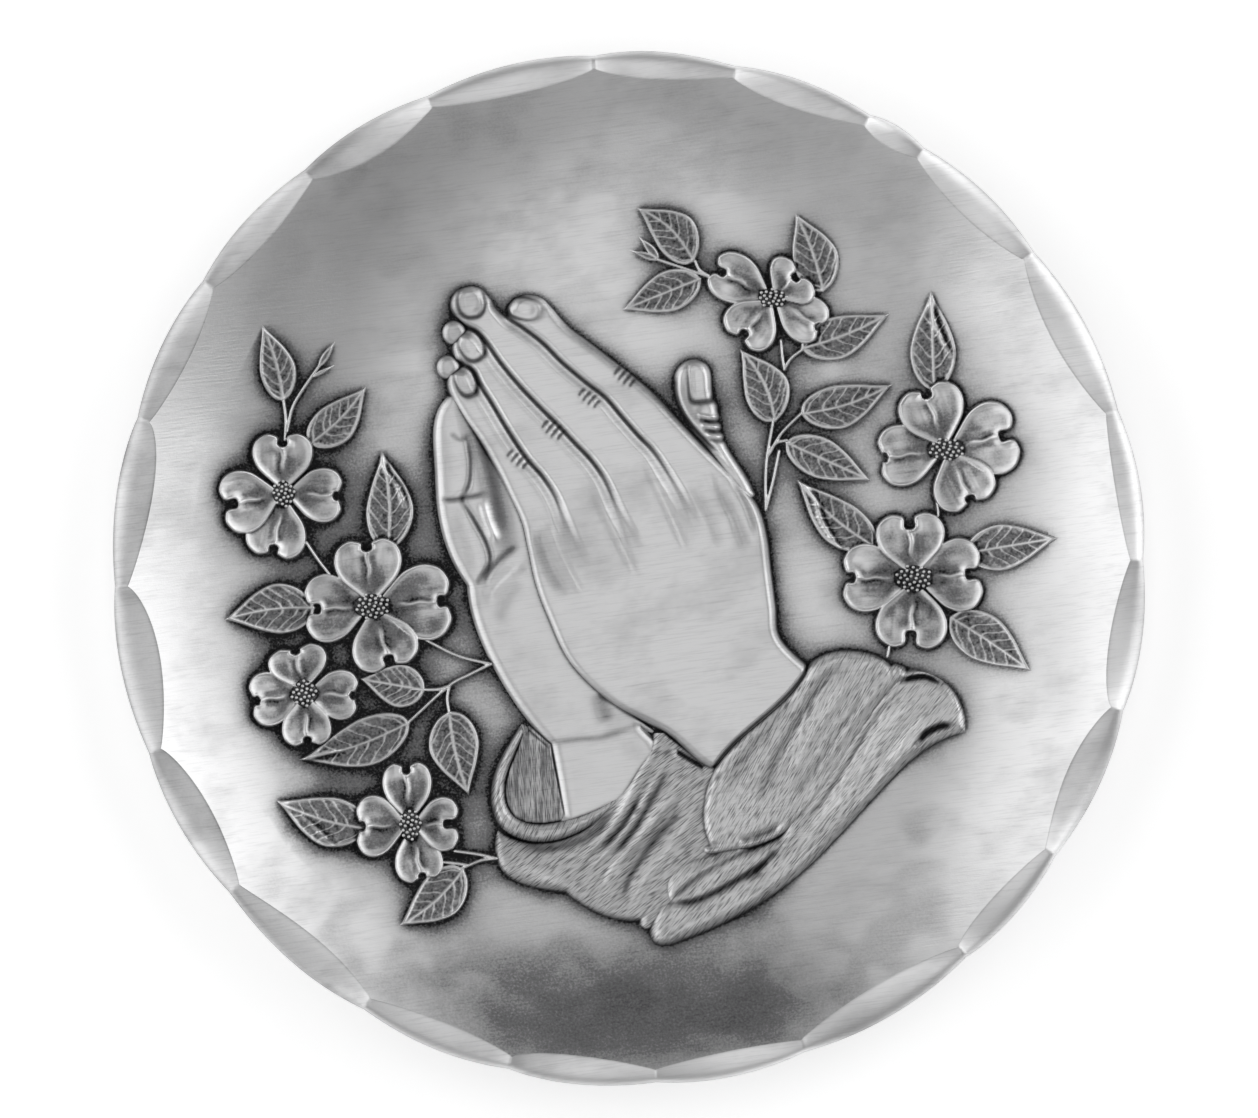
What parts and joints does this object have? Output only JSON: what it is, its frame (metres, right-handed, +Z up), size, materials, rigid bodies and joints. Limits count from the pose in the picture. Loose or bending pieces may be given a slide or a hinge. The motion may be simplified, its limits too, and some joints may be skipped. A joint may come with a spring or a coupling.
{
  "type": "offering plate",
  "caption": "Round dished metal offering plate with a hammered facet rim and a raised scene of praying hands among dogwood.",
  "frame": {"origin": "centre of the flat underside that the plate rests on", "axes": "+Z up out of the well; +Y towards the top of the raised scene; +X to its right, seen from above"},
  "size_m": [0.3037, 0.3043, 0.0247],
  "materials": {
    "plate_metal": "brushed, with a dark smoked patina round the relief",
    "relief_metal": "brushed on the high parts, dark patina in the chased lines"
  },
  "bodies": {
    "root": {"back_sleeve": "relief_metal", "back_sleeve_hem": "relief_metal", "back_sleeve_lining": "relief_metal", "bloom_left_bottom_bracts": "relief_metal", "bloom_left_bottom_button": "relief_metal", "bloom_left_lower_bracts": "relief_metal", "bloom_left_lower_button": "relief_metal", "bloom_left_middle_bracts": "relief_metal", "bloom_left_middle_button": "relief_metal", "bloom_left_top_bracts": "relief_metal", "bloom_left_top_button": "relief_metal", "bloom_right_lower_bracts": "relief_metal", "bloom_right_lower_button": "relief_metal", "bloom_right_upper_bracts": "relief_metal", "bloom_right_upper_button": "relief_metal", "bloom_top_bracts": "relief_metal", "bloom_top_button": "relief_metal", "bud_left": "relief_metal", "bud_top": "relief_metal", "far_fingertips": "relief_metal", "far_hand": "relief_metal", "front_cuff": "relief_metal", "front_cuff_roll": "relief_metal", "leaf_left_1": "relief_metal", "leaf_left_2": "relief_metal", "leaf_left_3": "relief_metal", "leaf_left_4": "relief_metal", "leaf_left_5": "relief_metal", "leaf_left_6": "relief_metal", "leaf_left_7": "relief_metal", "leaf_left_8": "relief_metal", "leaf_left_9": "relief_metal", "leaf_right_1": "relief_metal", "leaf_right_2": "relief_metal", "leaf_right_3": "relief_metal", "leaf_right_4": "relief_metal", "leaf_top_1": "relief_metal", "leaf_top_2": "relief_metal", "leaf_top_3": "relief_metal", "leaf_top_4": "relief_metal", "leaf_top_5": "relief_metal", "leaf_top_6": "relief_metal", "leaf_top_7": "relief_metal", "near_hand_back": "relief_metal", "near_index_finger": "relief_metal", "near_little_finger": "relief_metal", "near_middle_finger": "relief_metal", "near_ring_finger": "relief_metal", "near_thumb": "relief_metal", "plate_dish": "plate_metal", "twigs_left_lower": "relief_metal", "twigs_left_middle": "relief_metal", "twigs_left_upper": "relief_metal", "twigs_right": "relief_metal"}
  },
  "joints": []
}
